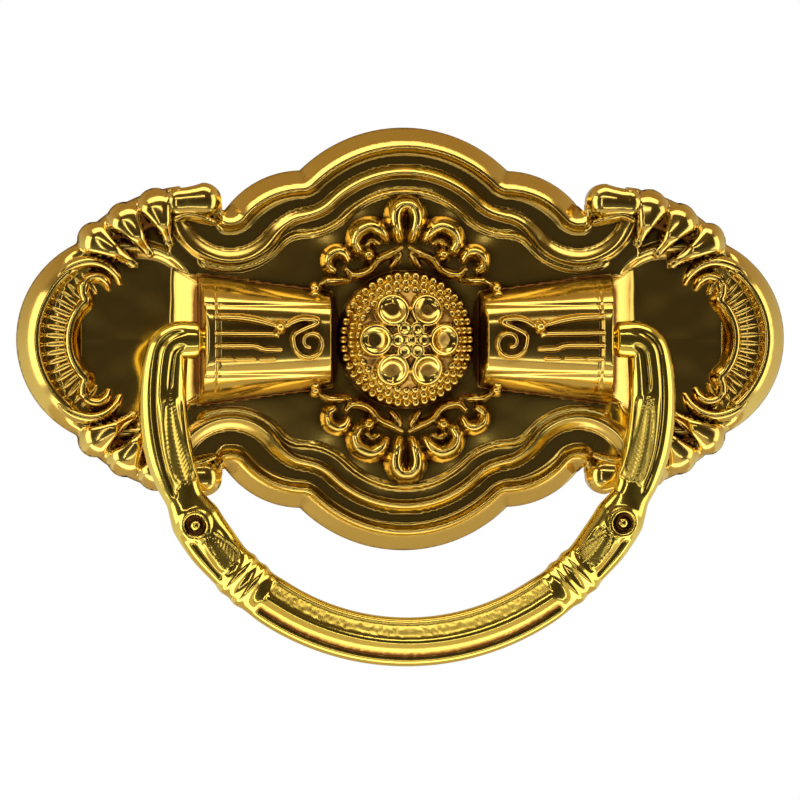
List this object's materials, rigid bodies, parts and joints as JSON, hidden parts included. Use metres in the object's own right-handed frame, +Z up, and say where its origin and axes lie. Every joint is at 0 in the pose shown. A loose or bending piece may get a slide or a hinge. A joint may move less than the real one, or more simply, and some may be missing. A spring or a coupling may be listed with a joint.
{
  "type": "ring pull",
  "caption": "Ornate pressed brass drawer pull: a waved backplate with shell ends, barrels and a rosette, carrying a hinged cast bail.",
  "frame": {"origin": "middle of the backplate on the drawer face, half way between the two threaded posts", "axes": "+Z up the drawer front, +X to the right as seen from the front, -Y out from the drawer towards the hand"},
  "size_m": [0.111, 0.0112, 0.0769],
  "materials": {
    "plate_brass": "polished pressed sheet",
    "bail_brass": "polished casting",
    "post_brass": "turned rod"
  },
  "bodies": {
    "plate": {"backplate": "plate_brass", "left_post": "post_brass", "right_post": "post_brass"},
    "bail": {"bail": "bail_brass"}
  },
  "joints": [
    {"name": "bail_swing", "type": "hinge", "parent": "plate", "child": "bail", "pos_m": [0, -0.0074, 0], "axis": [-1, 0, 0], "range_deg": [0, 180]}
  ]
}
